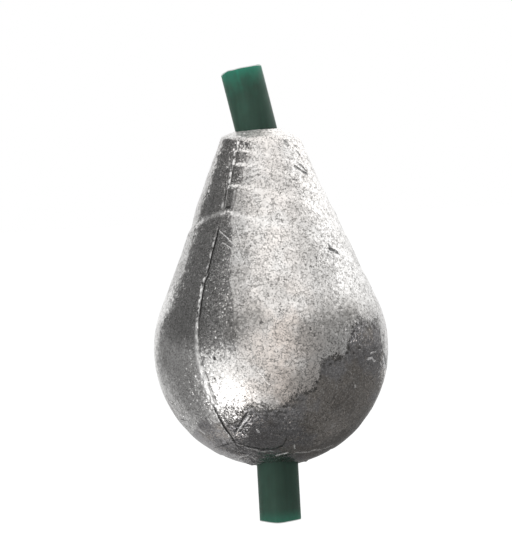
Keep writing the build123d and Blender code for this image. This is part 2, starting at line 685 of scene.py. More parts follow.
    glint_turn = make.ramp(glint, make.between(lively, 0.93, 0.70), 0.99, 0.0, 0.5)
    glint_turn = make.times(glint_turn, make.between(white, 1.0, 0.5))
    glint_turn = make.times(glint_turn, make.between(frost, 0.3, 1.0))
    small_turn = make.times(make.between(white, 0.15, 0.18), make.between(lively, 0.65, 1.0))
    facets = facet_normal(make, (
        (small, make.plus(small_turn, make.times(rough, 0.5))),
        (large, make.between(white, 0.04, 0.07)),
        (spark, make.plus(glint_turn, make.times(rough, 0.8))),
    ))
    height = make.plus(make.times(clear, 0.6), make.times(dust, 0.4))
    height = make.plus(height, make.times(raised, NICK_RELIEF))
    height = make.minus(height, make.times(scored, NICK_RELIEF))
    bump = make.new("ShaderNodeBump")
    bump.inputs["Distance"].default_value = LEAD_RELIEF
    make.feed(bump.inputs["Strength"], make.between(frost, 0.45, 0.9))
    make.feed(bump.inputs["Height"], height)
    make.feed(bump.inputs["Normal"], facets)
    make.feed(shader.inputs["Normal"], bump.outputs[0])
    return material


def tube_material(settings, length):
    """Soft translucent plastic, with painted light on one side, painted shade on its lower part and a
    painted glow at its cut ends.
    """
    material, make, shader = new_finish("soft_tube")
    place = make.new("ShaderNodeTexCoord").outputs["Object"]
    along = make.attribute("along")
    across = make.attribute("across")
    # painted light and shade: the tube painted lighter on one side and darker on its lower part
    pale = make.ramp(across, -0.4, 0.6)
    upper = make.ramp(along, 0.3 * length, 0.7 * length)

    stretch = make.new("ShaderNodeMapping")
    stretch.inputs["Scale"].default_value = (1.0, 1.0, 0.06)
    make.feed(stretch.inputs["Vector"], place)
    streak = make.noise(stretch.outputs[0], STREAK_WIDTH, detail=2.0)
    mottle = make.noise(place, MOTTLE_SIZE, detail=2.0)
    # the painted light and shade, times the plastic's own streaks and mottle
    tint = make.times(make.between(pale, 0.84, 1.20), make.between(upper, 0.87, 1.0))
    for pattern in (streak, mottle):
        tint = make.times(tint, make.ramp(pattern, 0.25, 0.75, 0.90, 1.10))
    shades = make.vector("SCALE", settings.body_colour, scale=tint)

    # painted glow: lighter near both cut ends, with a painted ray near the top of one side, in place of
    # light let through the plastic
    from_top = make.minus(length, along)
    wobble = make.noise(place, PAINTED_GLOW_WOBBLE_SIZE, detail=2.0)
    reach = make.times(make.between(pale, 0.62, 0.88), make.ramp(wobble, 0.3, 0.7, 0.75, 1.3))
    painted_top_glow = make.math("EXPONENT", make.math("DIVIDE", from_top, make.times(reach, -MM)))
    ray = make.ramp(make.gap(across, 0.2), 0.12, 0.0)
    ray = make.times(ray, make.math("EXPONENT", make.math("DIVIDE", from_top, -PAINTED_RAY_REACH)))
    painted_top_glow = make.plus(painted_top_glow, make.times(ray, 0.35))
    painted_low_glow = make.ramp(along, 1.3 * MM, 0.05 * MM, 0.0, 0.36)
    glow = make.smaller(make.larger(painted_top_glow, painted_low_glow), 1.0)
    make.feed(shader.inputs["Base Color"], make.mix(glow, shades, settings.painted_end_glow))
    make.feed(shader.inputs["Roughness"], make.ramp(streak, 0.2, 0.8, 0.46, 0.60))
    for name, value in SOFT_PLASTIC.items():
        shader.inputs[name].default_value = value
    bump = make.new("ShaderNodeBump")
    bump.inputs["Distance"].default_value = TUBE_RELIEF
    bump.inputs["Strength"].default_value = 0.5
    make.feed(bump.inputs["Height"], streak)
    make.feed(shader.inputs["Normal"], bump.outputs[0])
    return material


def smooth_rise(value, low, high):
    """Smooth step of an array from 0 at low to 1 at high."""
    share = np.clip((value - low) / (high - low), 0.0, 1.0)
    return share * share * (3.0 - 2.0 * share)


def hump(value, width):
    """Bell of height 1 at zero."""
    return np.exp(-((value / width) ** 2))


def field_of_noise(points, size, seed):
    """Noise between about -1 and 1 at each point of an array of places."""
    shift = Vector((1.7 * seed, -0.9 * seed, 2.3 * seed))
    flat = points.reshape(-1, 3) / size
    values = [noise.noise(Vector(place) + shift) for place in flat]
    return np.array(values).reshape(points.shape[:-1])


class CastForm:
    """The turned form of the casting, and the tilted levels at which the metal stood in the mould."""

    def __init__(self, settings):
        self.belly = settings.belly_radius
        self.bore = settings.bore_radius
        self.flank = settings.flank_angle
        self.slope = settings.crown_slope
        self.sharp_slope = settings.sharp_crown_slope
        self.belly_z = belly_height(settings)
        self.top_z = self.belly_z + settings.crown_height
        self.apex_z = self.belly_z + self.belly / math.sin(self.flank)
        self.tilt = math.tan(settings.lap_tilt)
        self.crown = settings.crown_height
        self.make_profile(settings)

    def make_profile(self, settings):
        """Samples the half section with both shoulders, from the lower mouth to the upper one."""
        sharp_radius = settings.sharp_shoulder_radius
        self.sharp_r, self.sharp_z = self.section(settings, sharp_radius, self.sharp_slope)
        self.sharp_crown_r = self.crown_r
        self.r, self.z = self.section(settings, settings.shoulder_radius, self.slope)
        steps = np.hypot(np.diff(self.r), np.diff(self.z))
        self.s = np.concatenate(([0.0], np.cumsum(steps)))

    def section(self, settings, shoulder_radius, slope):
        """Radii and heights along the half section, which also sets where its shoulder lies."""
        rise, lean = math.tan(slope), math.tan(self.flank)
        peak_z = self.top_z + self.bore * rise
        corner_r = (self.apex_z - peak_z) * lean / (1.0 - rise * lean)
        corner_z = peak_z - corner_r * rise
        turn = math.pi / 2 - self.flank - slope
        reach = shoulder_radius * math.tan(turn / 2)
        start_r = corner_r + reach * math.sin(self.flank)
        start_z = corner_z - reach * math.cos(self.flank)
        centre_r = start_r - shoulder_radius * math.cos(self.flank)
        centre_z = start_z - shoulder_radius * math.sin(self.flank)
        self.crown_r = corner_r - reach * math.cos(slope)
        self.shoulder_r, self.shoulder_z = start_r, start_z
        mouth = self.bore + settings.mouth_chamfer
        low = -math.acos(mouth / self.belly)
        belly = np.linspace(low, self.flank, 600)
        shoulder = np.linspace(self.flank, math.pi / 2 - slope, 80)
        radii = (self.belly * np.cos(belly), centre_r + shoulder_radius * np.cos(shoulder), [self.bore])
        heights = (
            self.belly_z + self.belly * np.sin(belly),
            centre_z + shoulder_radius * np.sin(shoulder),
            [self.top_z],
        )
        return np.concatenate(radii), np.concatenate(heights)

    def run_at_height(self, height):
        """Distance along the profile at which a height is reached."""
        return float(np.interp(height, self.z, self.s))

    def lap_level(self, height):
        """Height on the axis of the tilted level that meets the gate's flash at a height."""
        return height - self.tilt * float(np.interp(height, self.z, self.r))

    def far_height(self, level):
        """Height at which a tilted level meets the flank opposite the gate."""
        lean = math.tan(self.flank)
        return (level - self.tilt * self.apex_z * lean) / (1.0 - self.tilt * lean)

    def solve(self, near_runs, far_runs, turns):
        """Runs along the profile where levels, given at both flashes, meet each direction."""
        near_z, near_r = np.interp(near_runs, self.s, self.z), np.interp(near_runs, self.s, self.r)
        far_z, far_r = np.interp(far_runs, self.s, self.z), np.interp(far_runs, self.s, self.r)
        tilt = (near_z - far_z) / (near_r + far_r)
        level = (near_z - tilt * near_r)[:, None]
        lift = tilt[:, None] * np.cos(turns)
        low = np.zeros(lift.shape)
        high = np.full(lift.shape, self.s[-1])
        for _ in range(36):
            middle = (low + high) / 2
            over = np.interp(middle, self.s, self.z) - level - lift * np.interp(middle, self.s, self.r)
            high = np.where(over > 0, middle, high)
            low = np.where(over > 0, low, middle)
        return (low + high) / 2


LAP_HEIGHT_SHARES = (0.627, 0.757, 0.854, 0.915)
LAP_WIDTHS = (0.50 * MM, 0.45 * MM, 0.40 * MM, 0.28 * MM)
# share of painted highlight on each lap's ledge
LAP_HIGHLIGHTS = (0.6, 0.22, 0.22, 0.22)
ROW_PITCH = 0.17 * MM
FOOT_CROWDING = 1.3
TURN_PITCH = math.radians(1.25)
FLASH_TURN_PITCH = math.radians(0.26)
FLASH_TURN_REACH = math.radians(4.2)


def cast_turns():
    """Directions of the casting's columns, closer together at the two flashes."""
    close = np.arange(-FLASH_TURN_REACH, FLASH_TURN_REACH, FLASH_TURN_PITCH)
    wide_span = math.pi - 2 * FLASH_TURN_REACH
    wide = FLASH_TURN_REACH + np.arange(0.0, wide_span, TURN_PITCH)
    half = np.concatenate((close, wide))
    return np.concatenate((half, half + math.pi))


def cast_runs(form):
    """Pairs of runs along the profile, at the gate's flash and opposite, for the casting's rows."""
    near, far = [0.0], [0.0]
    for share in LAP_HEIGHT_SHARES:
        height = form.belly_z + share * form.crown
        near.append(form.run_at_height(height))
        far.append(form.run_at_height(form.far_height(form.lap_level(height))))
    near.append(form.s[-1])
    far.append(form.s[-1])
    near_rows, far_rows = [], []
    for index in range(len(near) - 1):
        span = max(near[index + 1] - near[index], (far[index + 1] - far[index]) * 0.75)
        count = max(int(span / ROW_PITCH), 6)
        share = np.linspace(0.0, 1.0, count, endpoint=False) ** (FOOT_CROWDING if index == 0 else 1.0)
        near_rows.append(near[index] + share * (near[index + 1] - near[index]))
        far_rows.append(far[index] + share * (far[index + 1] - far[index]))
    near_rows.append([near[-1]])
    far_rows.append([far[-1]])
    return np.concatenate(near_rows), np.concatenate(far_rows)


FIRST_LAP_WEIGHTS = (
    # direction from the near flash in degrees, and how sharp the first lap is there
    (-180, 0.5), (-100, 0.5), (-60, 0.9), (35, 1.0), (70, 0.45), (180, 0.5),
)
FIRST_LAP_BEND = (
    # the same direction, and how far the first lap falls below its level there
    (-180, 0.0), (-60, 0.3), (-28, 0.70), (-14, 0.22), (0, -0.25), (8, -0.30), (30, 0.1), (60, 0.1),
    (180, 0.0),
)
UPPER_LAP_WEIGHTS = (
    # the same for the laps above it
    (-180, 0.5), (-90, 0.3), (-40, 0.12), (-6, 0.15), (3, 1.0), (35, 1.0), (70, 0.4), (180, 0.5),
)


def wrapped(angle):
    """Angle between -pi and pi."""
    return (angle + math.pi) % (2 * math.pi) - math.pi


def lap_inset(form, settings, radius, height, turns):
    """Inward steps of the skin at the laps, easing out towards the next, and the painted highlights on
    their ledges.
    """
    along = radius * np.cos(turns)
    waver = 0.10 * MM * np.sin(3 * turns + 0.6) + 0.06 * MM * np.sin(7 * turns + 2.1)
    degrees = np.degrees(wrapped(turns))
    inset, ledge_highlight = np.zeros(radius.shape), np.zeros(radius.shape)
    flat = 1.0 / math.hypot(1.0, form.tilt)
    laps = zip(LAP_HEIGHT_SHARES, LAP_WIDTHS, LAP_HIGHLIGHTS)
    for index, (share, width, pale) in enumerate(laps):
        weights = np.array(UPPER_LAP_WEIGHTS if index else FIRST_LAP_WEIGHTS)
        weight = np.interp(degrees, weights[:, 0], weights[:, 1])
        level = form.lap_level(form.belly_z + share * form.crown)
        above = (height - level - form.tilt * along) * flat + waver
        if index == 0:
            bend = np.array(FIRST_LAP_BEND)
            above = above + np.interp(degrees, bend[:, 0], bend[:, 1] * MM)
        spread = width * (1.0 + 2.5 * (1.0 - weight))
        drop = (1.0 + 0.9 * weight) * settings.lap_step * smooth_rise(above, -spread / 2, spread / 2)
        recover = 0.9 * weight * settings.lap_step * smooth_rise(above, width / 2, 2.2 * MM)
        inset += drop - recover
        highlight_share = pale * weight * smooth_rise(weight, 0.3, 0.9)
        ledge_highlight = np.maximum(ledge_highlight, highlight_share * hump(above, 0.5 * width))
    return inset, ledge_highlight


FLANK_HOLLOW = (
    # height from the belly's centre, and how far the flank falls short of a straight cone, left and right
    (4.2, 0.0, 0.0), (6.0, 0.10, 0.03), (8.0, 0.19, 0.05), (10.0, 0.25, 0.05), (12.0, 0.24, 0.06),
    (14.0, 0.14, 0.10), (17.0, 0.08, 0.08), (20.0, 0.04, 0.04),
)


def flank_hollow(form, height, direction):
    """Shallow hollow of the flank, deeper on the left."""
    table = np.array(FLANK_HOLLOW) * MM
    left, right = (np.interp(height - form.belly_z, table[:, 0], table[:, column]) for column in (1, 2))
    return right + (left - right) * (0.5 - 0.5 * np.cos(direction))


FLASH_COURSE = (
    # height from the belly's centre, and how far the near flash wanders from its plane
    (-11.1, 0.25), (-9.5, 0.80), (-7.9, 1.10), (-4.2, 0.74), (-0.8, 0.20), (0.0, 0.0), (3.7, -0.24),
    (7.0, -0.46), (8.0, -0.14), (11.0, 0.10), (14.2, 0.30), (18.6, 0.34),
)


def flash_course(form, height):
    """Distance of the near flash from its plane."""
    course = np.array(FLASH_COURSE) * MM
    return np.interp(height - form.belly_z, course[:, 0], course[:, 1])


FLASH_STRETCHES = (
    # height from the belly's centre, ridge share, half width of the ridge, groove share
    (-12.0, 0.0, 0.12, 0.1),
    (-8.6, 0.0, 0.12, 0.15),
    (-8.1, 0.0, 0.12, 1.0),
    (-5.0, 0.0, 0.12, 1.0),
    (-4.4, 0.5, 0.34, 0.6),
    (-3.6, 0.9, 0.40, 0.7),
    (-1.0, 0.9, 0.34, 0.6),
    (0.4, 0.7, 0.22, 0.3),
    (3.6, 0.6, 0.15, 0.5),
    (4.4, 1.0, 0.11, 1.0),
    (7.6, 1.0, 0.11, 1.0),
    (8.0, 0.0, 0.06, 1.2),
    (11.8, 0.0, 0.06, 1.2),
    (12.0, 0.0, 0.06, 0.2),
    (12.9, 0.0, 0.06, 0.0),
    (15.7, 0.0, 0.09, 0.0),
    (15.9, 0.60, 0.11, 0.3),
    (20.0, 0.55, 0.11, 0.3),
)

# Ridge share, half width of the ridge and groove share of the far flash
FAR_FLASH = (0.75, 0.13, 0.3)
# Lower and upper end of the pocket in the near flash, from the belly's centre
POCKET_SPAN = (13.8 * MM, 15.7 * MM)


def flash_offset(settings, form, radius, height, turns, places):
    """Ridge, groove and crack of the parting flash, with painted shade in the groove and the pocket and
    painted highlights on the ridge, its beads, the pocket's lip and the drop.
    """
    near = np.cos(turns) > 0
    rise = height - form.belly_z
    ragged = field_of_noise(places, 0.30 * MM, settings.seed)
    slow = field_of_noise(places, 2.4 * MM, settings.seed + 1)
    side = radius * np.sin(turns) * np.where(near, 1.0, -1.0) + 0.04 * MM * slow
    side = side - np.where(near, flash_course(form, height), 0.0)
    table = np.array(FLASH_STRETCHES)
    knots = table[:, 0] * MM
    ridge_share, width, groove_share = (
        np.where(near, np.interp(rise, knots, table[:, column]), far)
        for column, far in zip((1, 2, 3), FAR_FLASH)
    )
    width = width * MM
    broken = smooth_rise(rise, 2.5 * MM, 4.4 * MM)
    pieces = smooth_rise(ragged, -0.12, 0.10)
    keep = (1.0 - broken) * np.clip(0.8 + 0.8 * ragged + 0.4 * slow, 0.0, 1.6) + 1.3 * broken * pieces
    ridge = settings.flash_height * ridge_share * keep * hump(side, width)
    beside = np.where(ridge_share > 0.3, width + 0.12 * MM, 0.0)
    groove = groove_share * np.clip(0.8 - 0.8 * ragged, 0.2, 1.2) * hump(side - beside, 0.10 * MM)
    low, high = (form.belly_z + end for end in POCKET_SPAN)
    inside = smooth_rise(height, low, low + 0.1 * MM) * smooth_rise(-height, -high, 0.2 * MM - high) * near
    pocket = inside * smooth_rise(side, 0.04 * MM, 0.14 * MM) * smooth_rise(-side, -0.80 * MM, -0.70 * MM)
    lip = inside * hump(side - 0.92 * MM, 0.07 * MM)
    beads = smooth_rise(ragged, -0.05, 0.12) * hump(side - beside + 0.20 * MM, 0.085 * MM)
    beads = beads * np.minimum(groove_share, 1.0) * near
    drop = hump(np.hypot(side + 0.16 * MM, 0.6 * (height - low - 0.35 * MM)), 0.17 * MM) * near
    offset = ridge + 0.05 * MM * beads - 0.6 * settings.flash_height * groove - 0.06 * MM * pocket
    offset = offset + 0.03 * MM * lip + 0.06 * MM * drop
    # painted highlight on the flash ridge, its beads, the pocket's lip and the drop
    bare = 0.9 * np.minimum(ridge_share, 1.0) * keep * hump(side, width) * np.where(near, 1.0, 0.4)
    bare = np.clip(bare + 1.1 * beads + 0.6 * lip + drop, 0.0, 1.0)
    whole = smooth_rise(np.abs(rise + 1.2 * MM), 2.6 * MM, 3.6 * MM)
    # painted shade in the groove beside the ridge, and where the ridge breaks up
    groove_shade = groove_share * np.clip(2.2 * hump(side - beside, 0.085 * MM), 0.0, 1.0)
    groove_shade = groove_shade * (whole + (1.0 - whole) * (1.0 - pieces))
    groove_shade = groove_shade + broken * (1.0 - pieces) * ridge_share * hump(side, 0.08 * MM) * near
    # painted shade along the pocket's edges
    within = (side > 0.0) * (side < 0.8 * MM)
    edges = hump(height - low - 0.12 * MM, 0.16 * MM) * within
    edges = np.maximum(edges, hump(side - 0.05 * MM, 0.09 * MM))
    edges = np.maximum(edges, 0.5 * hump(height - high + 0.1 * MM, 0.09 * MM) * within)
    grime = groove_shade + inside * edges
    return offset, np.clip(grime, 0.0, 1.0), bare


GATE_POLAR_ANGLE = math.radians(16.0)
RING_RADIUS = 5.3 * MM
BURR_RADIUS = 2.75 * MM


def foot_offset(settings, form, radius, height, turns, places):
    """Gate scar, mould ring and burr round the lower mouth."""
    low = smooth_rise(-height, -4.0 * MM, -3.0 * MM)
    crumbs = field_of_noise(places, 0.45 * MM, settings.seed + 2)
    slow = field_of_noise(places, 2.0 * MM, settings.seed + 3)
    ring_gap = radius - RING_RADIUS + 0.15 * MM * slow
    ring = -0.05 * MM * hump(ring_gap, 0.13 * MM) + 0.04 * MM * smooth_rise(ring_gap, -0.1 * MM, 0.3 * MM)
    gate_r = form.belly * math.sin(GATE_POLAR_ANGLE)
    gap = np.hypot(radius * np.cos(turns) - gate_r, radius * np.sin(turns))
    scar = (0.08 * MM + 0.11 * MM * crumbs) * smooth_rise(-gap, -1.5 * MM, -1.1 * MM)
    burr = 0.13 * MM * hump(radius - BURR_RADIUS, 0.2 * MM) * np.clip(0.2 + crumbs + slow, 0.0, 1.0)
    return low * (ring + scar + burr)


def mouth_level(direction, crumbs):
    """Level of the lower mouth's edge: broken away in front and hanging as a burr at the sides."""
    front = hump(wrapped(direction + math.pi / 2), math.radians(52.0))
    sides = hump(np.abs(np.cos(direction)) - 1.0, 0.16)
    return 0.42 * MM * front * (1.0 + 0.15 * crumbs) - 0.10 * MM * sides


FROST_BORDER = (
    # distance across and height of the frosted skin's lower border, from the belly's centre
    (-11.5, -3.0), (-9.5, -6.2), (-8.0, -7.2), (-7.0, -6.0), (-5.0, -6.4), (-4.0, -6.6),
    (-3.4, -5.9), (-2.7, -5.2), (-1.2, -5.2),
    (0.5, -5.2), (1.5, -4.6), (2.1, -4.0), (4.2, -3.1), (4.7, -0.8), (6.9, -0.6), (7.5, 1.0),
    (7.9, 2.0), (8.5, 2.7),
    (9.4, 2.4), (10.4, 2.0), (10.85, -2.5), (11.5, -3.8),
)
WHITE_BORDER = (
    # height from the belly's centre, the white skin's distance from the near flash, its border's half width
    (-12.0, 4.5, 1.2), (-5.0, 4.2, 1.2), (-3.0, 4.3, 1.2), (0.0, 4.8, 1.4), (2.0, 5.2, 1.4),
    (3.0, 4.2, 1.0),
    (4.0, 3.8, 0.5), (5.0, 3.8, 0.4), (6.0, 3.4, 0.4), (8.7, 2.3, 0.4), (11.0, 1.9, 0.35),
    (12.4, 1.3, 0.3), (13.7, 1.08, 0.25),
    (16.5, 1.36, 0.25), (19.5, 1.36, 0.25),
)
LEFT_BORDER = (
    # heights from the belly's centre, and where the white skin begins left of the near flash, in radii
    (4.0 * MM, 7.5 * MM, 11.0 * MM, 15.0 * MM),
    (0.80, 0.44, 0.46, 0.57),
)
ROUGH_PATCHES = (
    # middle across and up on the front, reach and strength, where flash and gate broke away
    (-4.1, -5.3, 0.9, 0.9), (-3.3, -7.1, 0.8, 0.5), (-2.6, -10.1, 1.0, 0.6),
    (1.4, -7.0, 0.6, 0.35), (-1.3, 19.8, 0.5, 0.9), (2.5, 19.7, 0.5, 0.5), (3.6, 17.6, 0.9, 0.4),
    (6.2, 9.6, 0.8, 0.5),
    (7.7, 1.1, 0.8, 0.5), (-9.9, -4.8, 0.7, 0.9), (-9.2, -5.7, 0.8, 0.9), (-8.3, -6.6, 0.8, 0.8),
)
CLEAN_PATCHES = (
    # the same, where the frosted skin has fewer pits
    (-4.0, -2.2, 1.8, 0.8),
)
DULL_PATCHES = (
    # the same for duller frosted skin
    (-2.6, 3.2, 1.6, 0.75), (-3.3, 2.2, 1.1, 0.75), (-1.4, 3.6, 1.5, 0.9), (5.5, 3.2, 2.0, 0.68),
    (7.6, 3.5, 1.6, 0.95), (9.0, 3.3, 1.2, 0.6), (3.9, 2.3, 1.5, 0.5),
    (3.3, 13.8, 1.0, 0.2), (3.6, 11.4, 1.1, 0.25), (4.3, 9.3, 1.2, 0.3), (5.0, 7.2, 1.3, 0.35),
    (2.4, -3.0, 1.2, 0.4),
    (0.6, 6.0, 1.6, 0.45),
)


def patch_field(form, places, patches):
    """Strongest share of round patches, given as seen from the front."""
    share = np.zeros(places.shape[:-1])
    for across, rise, reach, strength in patches:
        gap = np.hypot(places[..., 0] - across * MM, places[..., 2] - form.belly_z - rise * MM)
        share = np.maximum(share, strength * hump(gap, reach * MM) * (places[..., 1] < 0.0))
    return share


def warm_field(form, places):
    """Share of the warmer tint, on the middle of the front and strongest on the belly."""
    rise = places[..., 2] - form.belly_z
    middle = hump(places[..., 0] - 0.8 * MM, 4.0 * MM)
    return middle * (0.45 + 0.55 * smooth_rise(-rise, -8.0 * MM, -3.0 * MM))


def stain_field(form, places):
    """Share of the brownish tint, on the lower right."""
    rise = places[..., 2] - form.belly_z
    return smooth_rise(places[..., 0], 1.0 * MM, 4.0 * MM) * smooth_rise(-rise, 1.5 * MM, 3.5 * MM)


def white_field(form, radius, height, turns, seed):
    """Share of the white, coarsely frosted skin, which begins beside the near flash."""
    table = np.array(WHITE_BORDER) * MM
    edge, width = (np.interp(height - form.belly_z, table[:, 0], table[:, column]) for column in (1, 2))
    side = radius * np.sin(turns) - np.where(np.cos(turns) > 0, flash_course(form, height), 0.0)
    edge = np.where(height > form.belly_z, np.minimum(edge, 0.40 * radius), edge)
    crown = smooth_rise(form.crown_r - radius, -0.1 * MM, 0.25 * MM) * (height > form.shoulder_z)
    white = np.maximum(np.clip(0.5 + (side - edge) / (2 * width), 0.0, 1.0), crown)
    left_edge = radius * np.interp(height - form.belly_z, LEFT_BORDER[0], LEFT_BORDER[1])
    belly = smooth_rise(form.belly_z - height, -8.0 * MM, -5.0 * MM)
    places = np.stack((radius * np.cos(turns), radius * np.sin(turns), height), axis=-1)
    wander = field_of_noise(places, 3.2 * MM, seed) + 0.5 * field_of_noise(places, 1.2 * MM, seed + 1)
    gap = side + left_edge + (0.25 * MM + 1.9 * MM * belly) * wander
    return np.maximum(white, np.clip(0.5 - gap / (0.9 * MM + 1.8 * MM * belly), 0.0, 1.0))


def chalk_field(form, radius, height, turns):
    """Share of chalky skin: on the cone beside the near flash, and on the crown."""
    rise = height - form.belly_z
    side = radius * np.sin(turns)
    beside = 1.0 - 0.8 * smooth_rise(side, 2.5 * MM, 6.0 * MM)
    cone = 0.08 + 0.47 * smooth_rise(rise, 1.0 * MM, 6.0 * MM) * np.where(np.cos(turns) > 0, beside, 0.2)
    crown = smooth_rise(height, form.shoulder_z, form.shoulder_z + 0.8 * MM)
    return np.maximum(cone, 0.5 * crown)


def quiet_field(form, radius, height, turns):
    """Share of the quieter skin, with few crystals, on the belly left of the near flash."""
    side = radius * np.sin(turns) - np.where(np.cos(turns) > 0, flash_course(form, height), 0.0)
    belly = smooth_rise(form.belly_z - height, -8.0 * MM, -3.0 * MM)
    return belly * smooth_rise(-side, 0.3 * MM, 0.8 * MM) * smooth_rise(np.cos(turns), -0.5, 0.1)


def frost_field(form, places, seed):
    """Share of frosted skin: the lower right and the foot lay on the mould and came out smooth."""
    border = np.array(FROST_BORDER) * MM
    edge = np.interp(places[..., 0], border[:, 0], border[:, 1])
    wander = field_of_noise(places, 4.5 * MM, seed) + 0.5 * field_of_noise(places, 1.8 * MM, seed + 1)
    edge = edge + 3.0 * MM * wander * smooth_rise(places[..., 1], -6.0 * MM, -1.0 * MM)
    return np.clip(0.5 + (places[..., 2] - form.belly_z - edge) / (1.8 * MM), 0.0, 1.0)


def rim_radius(form, tube, direction):
    """Inner edge of the upper mouth, widened where the tube leans."""
    shift = tube.bend_radius * (1.0 - math.cos(tube.lean_angle))
    towards = -np.cos(direction)
    leaning = shift * towards + np.sqrt(form.bore**2 - (shift * np.sin(direction)) ** 2)
    return np.maximum(form.bore, leaning)


def casting_mesh(settings, tube):
    """Closed mesh of the casting with its bore, in rows that follow the levels of the laps."""
    form = CastForm(settings)
    near, far = cast_runs(form)
    straight = cast_turns()
    course = flash_course(form, np.interp(near, form.s, form.z)) / np.interp(near, form.s, form.r)
    turns = straight + np.arcsin(course)[:, None] * smooth_rise(np.cos(straight), 0.2, 0.97)
    runs = form.solve(near, far, turns)
    direction = settings.parting_azimuth + turns
    sharp = hump(wrapped(direction - math.pi), math.radians(75.0))
    radius = np.interp(runs, form.s, form.r)
    on_crown = (np.interp(runs, form.s, form.z) > form.shoulder_z) & (radius < form.crown_r)
    share = np.clip((radius - form.bore) / (form.crown_r - form.bore), 0.0, 1.0)
    radius = radius + sharp * (np.interp(runs, form.s, form.sharp_r) - radius)
    height = np.interp(runs, form.s, form.z)
    height = height + sharp * (np.interp(runs, form.s, form.sharp_z) - height)
    rim = rim_radius(form, tube, direction)
    normal_r = np.interp(runs, form.s, np.gradient(form.z, form.s))
    normal_z = -np.interp(runs, form.s, np.gradient(form.r, form.s))

    above = height > form.shoulder_z
    flank_r, flank_z = np.where(above, form.shoulder_r, radius), np.minimum(height, form.shoulder_z)
    inset, ledge_highlight = lap_inset(form, settings, flank_r, flank_z, turns)
    inset = inset + flank_hollow(form, flank_z, direction)
    rise = math.tan(form.slope) + sharp * (math.tan(form.sharp_slope) - math.tan(form.slope))
    slide = inset / (1.0 - rise * math.tan(form.flank))
    crown_edge = form.crown_r + sharp * (form.sharp_crown_r - form.crown_r)
    crown = rim + share * (crown_edge - slide - rim)
    radius = np.where(on_crown, crown, radius - np.where(above, slide, inset))
    off_crown = height + np.where(above, slide * rise, 0.0)
    height = np.where(on_crown, form.top_z + (form.bore - radius) * rise, off_crown)

    places = np.stack((radius * np.cos(direction), radius * np.sin(direction), height), axis=-1)
    fade = np.clip((radius - np.where(above, rim, form.bore)) / (0.5 * MM), 0.0, 1.0)
    flash, grime, bare = flash_offset(settings, form, radius, height, turns, places)
    # painted highlights on the lap ledges, broken into patches
    patchy = np.clip(0.5 + field_of_noise(places, 0.5 * MM, settings.seed + 5), 0.0, 1.0)
    bare = np.maximum(bare, ledge_highlight * patchy)
    marks = (flash + foot_offset(settings, form, radius, height, turns, places)) * fade
    radius = radius + marks * normal_r
    height = height + marks * normal_z
    level = mouth_level(direction, field_of_noise(places, 0.5 * MM, settings.seed + 4))
    broken = np.maximum(height, level) + np.minimum(level, 0.0) * hump(radius - form.bore, 0.45 * MM)
    height = np.where(height < 1.2 * MM, broken, height)

    wall_levels = np.array((0.9985, 0.95, 0.9, 0.5, 0.0))[:, None]
    wall_r = form.bore + (rim[-1] - form.bore) * smooth_rise(wall_levels, 0.85, 1.0)
    wall_z = height[-1] * wall_levels + (height[0] + settings.mouth_chamfer) * (wall_levels == 0.0)
    wall_direction = direction[0] + (direction[-1] - direction[0]) * wall_levels
    rows_r, rows_z = np.concatenate((radius, wall_r)), np.concatenate((height, wall_z))
    rows_direction = np.concatenate((direction, wall_direction))
    points = np.stack((rows_r * np.cos(rows_direction), rows_r * np.sin(rows_direction), rows_z), axis=-1)
    rows_turns = rows_direction - settings.parting_azimuth
    bare_wall = np.zeros(wall_r.shape)
    return grid_mesh("lead_casting", points, {
        "skin": np.concatenate((fade, bare_wall)),
        "frost": frost_field(form, points, settings.seed + 6),
        "coarse": white_field(form, rows_r, rows_z, rows_turns, settings.seed + 8),
        "chalk": chalk_field(form, rows_r, rows_z, rows_turns),
        # painted shade: the groove, the pocket's edges and the whole bore wall
        "grime": np.concatenate((grime * fade, bare_wall + 0.6)),
        "bare": np.concatenate((bare * fade, bare_wall)),
        "rough": patch_field(form, points, ROUGH_PATCHES),
        "dull": patch_field(form, points, DULL_PATCHES),
        "warm": warm_field(form, points),
        "stain": stain_field(form, points),
        "quiet": np.maximum(
            quiet_field(form, rows_r, rows_z, rows_turns),
            patch_field(form, points, CLEAN_PATCHES),
        ),
    })


def grid_mesh(name, points, attributes):
    """Mesh of a grid that closes on itself both ways, with float attributes."""
    rows, columns = points.shape[:2]
    index = np.arange(rows * columns).reshape(rows, columns)
    right = np.roll(index, -1, axis=1)
    above, above_right = np.roll(index, -1, axis=0), np.roll(right, -1, axis=0)
    faces = np.stack((index, right, above_right, above), axis=-1).reshape(-1, 4)
    mesh = bpy.data.meshes.new(name)
    mesh.from_pydata(points.reshape(-1, 3).tolist(), [], faces.tolist())
    for key, values in attributes.items():
        layer = mesh.attributes.new(key, "FLOAT", "POINT")
        layer.data.foreach_set("value", np.ascontiguousarray(values, dtype=np.float32).ravel())
    mesh.update()
    return mesh


def group_input(tree, name, kind):
    """Adds a named input to a node group and returns its identifier."""
    return tree.interface.new_socket(name=name, in_out="INPUT", socket_type=kind).identifier


